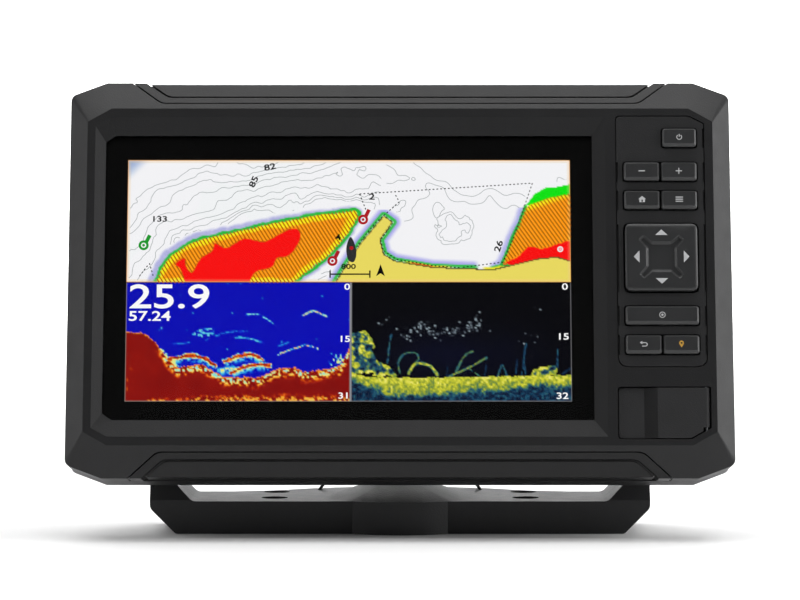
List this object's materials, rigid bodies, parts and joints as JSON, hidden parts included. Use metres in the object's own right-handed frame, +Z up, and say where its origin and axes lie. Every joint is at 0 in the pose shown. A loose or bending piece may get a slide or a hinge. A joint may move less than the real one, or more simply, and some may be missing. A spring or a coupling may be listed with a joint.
{
  "type": "fish finder",
  "caption": "Rectangular keyed fish finder with a glass-fronted screen, keypad and card door, on a tilting quick-release cradle and a low U-shaped bail mount.",
  "frame": {"origin": "centre of the bail mount's underside, on the surface it is screwed to", "axes": "+Z up from the surface, screen facing -Y, +X to the keypad side"},
  "size_m": [0.2302, 0.0968, 0.1574],
  "materials": {
    "housing": "fine matte texture",
    "trim": "fine matte texture",
    "keypad": "soft touch",
    "key": "satin",
    "cover_glass": "polished",
    "screen": "lit screen",
    "rubber": "matte",
    "mount": "coarse matte texture",
    "steel": "brushed",
    "aluminium": "satin",
    "brass": "turned",
    "board": "solder mask",
    "ceramic": "fired"
  },
  "bodies": {
    "mount": {"bail_mount": "mount", "friction_washer_left": "rubber", "friction_washer_right": "rubber"},
    "cradle": {"cradle": "mount", "latch_pin": "steel", "latch_spring": "steel", "threaded_insert_left": "brass", "threaded_insert_right": "brass"},
    "left_knob": {"knob_left": "mount", "knob_stud_left": "steel"},
    "right_knob": {"knob_right": "mount", "knob_stud_right": "steel"},
    "latch": {"release_latch": "mount"},
    "head": {"front_bezel": "housing", "top_trim_cap": "trim", "bottom_trim_cap": "trim", "glass_gasket": "rubber", "cover_glass": "cover_glass", "lcd_panel": "screen", "lcd_backlight_case": "aluminium", "lcd_bracket": "aluminium", "keypad_surround": "keypad", "keypad_membrane": "rubber", "keypad_board": "board", "card_door_pin": "steel", "card_door_gasket": "rubber", "card_slot": "steel", "rear_housing": "housing", "housing_seal": "rubber", "main_board": "board", "board_shield": "aluminium", "gps_antenna": "ceramic", "beeper": "rubber", "power_socket": "rubber", "transducer_socket": "rubber", "vent_plug": "rubber", "housing_screw_1": "steel", "housing_screw_2": "steel", "housing_screw_3": "steel", "housing_screw_4": "steel", "housing_screw_5": "steel", "housing_screw_6": "steel"},
    "door": {"card_door": "trim"},
    "rocker_stem": {"rocker_pivot": "key"},
    "rocker": {"rocker_pad": "key"},
    "power_button": {"power_key": "key"},
    "minus_button": {"minus_key": "key"},
    "plus_button": {"plus_key": "key"},
    "home_button": {"home_key": "key"},
    "menu_button": {"menu_key": "key"},
    "select_button": {"select_key": "key"},
    "back_button": {"back_key": "key"},
    "mark_button": {"mark_key": "key"}
  },
  "joints": [
    {"name": "tilt", "type": "hinge", "parent": "mount", "child": "cradle", "pos_m": [0, 0.006, 0.07], "axis": [1, 0, 0], "range_deg": [-30, 7]},
    {"name": "left_knob_turn", "type": "hinge", "parent": "cradle", "child": "left_knob", "pos_m": [-0.098, 0.006, 0.07], "axis": [-1, 0, 0], "continuous": true},
    {"name": "right_knob_turn", "type": "hinge", "parent": "cradle", "child": "right_knob", "pos_m": [0.098, 0.006, 0.07], "axis": [1, 0, 0], "continuous": true},
    {"name": "head_release", "type": "slide", "parent": "cradle", "child": "head", "axis": [0, -0.9659, 0.2588], "range_m": [0, 0.012]},
    {"name": "latch_lift", "type": "hinge", "parent": "cradle", "child": "latch", "pos_m": [0, 0.03353, 0.1206], "axis": [-1, 0, 0], "range_deg": [0, 26]},
    {"name": "door_swing", "type": "hinge", "parent": "head", "child": "door", "pos_m": [0.1052, -0.04441, 0.04375], "axis": [0, 0.2588, 0.9659], "range_deg": [0, 95]},
    {"name": "rocker_up_down", "type": "hinge", "parent": "head", "child": "rocker_stem", "pos_m": [0.09035, -0.02796, 0.09587], "axis": [1, 0, 0], "range_deg": [-2.5, 2.5], "stiffness_Nm_per_rad": 0.6},
    {"name": "rocker_left_right", "type": "hinge", "parent": "rocker_stem", "child": "rocker", "pos_m": [0.09035, -0.02796, 0.09587], "axis": [0, 0.2588, 0.9659], "range_deg": [-2.5, 2.5], "stiffness_Nm_per_rad": 0.6},
    {"name": "power_press", "type": "slide", "parent": "head", "child": "power_button", "axis": [0, 0.9659, -0.2588], "range_m": [0, 0.0006], "stiffness_N_per_m": 300},
    {"name": "minus_press", "type": "slide", "parent": "head", "child": "minus_button", "axis": [0, 0.9659, -0.2588], "range_m": [0, 0.0006], "stiffness_N_per_m": 300},
    {"name": "plus_press", "type": "slide", "parent": "head", "child": "plus_button", "axis": [0, 0.9659, -0.2588], "range_m": [0, 0.0006], "stiffness_N_per_m": 300},
    {"name": "home_press", "type": "slide", "parent": "head", "child": "home_button", "axis": [0, 0.9659, -0.2588], "range_m": [0, 0.0006], "stiffness_N_per_m": 300},
    {"name": "menu_press", "type": "slide", "parent": "head", "child": "menu_button", "axis": [0, 0.9659, -0.2588], "range_m": [0, 0.0006], "stiffness_N_per_m": 300},
    {"name": "select_press", "type": "slide", "parent": "head", "child": "select_button", "axis": [0, 0.9659, -0.2588], "range_m": [0, 0.0006], "stiffness_N_per_m": 300},
    {"name": "back_press", "type": "slide", "parent": "head", "child": "back_button", "axis": [0, 0.9659, -0.2588], "range_m": [0, 0.0006], "stiffness_N_per_m": 300},
    {"name": "mark_press", "type": "slide", "parent": "head", "child": "mark_button", "axis": [0, 0.9659, -0.2588], "range_m": [0, 0.0006], "stiffness_N_per_m": 300}
  ],
  "couplings": [
    {"joint": "latch_lift", "follows": "head_release", "rad_per_m": 37.8}
  ]
}
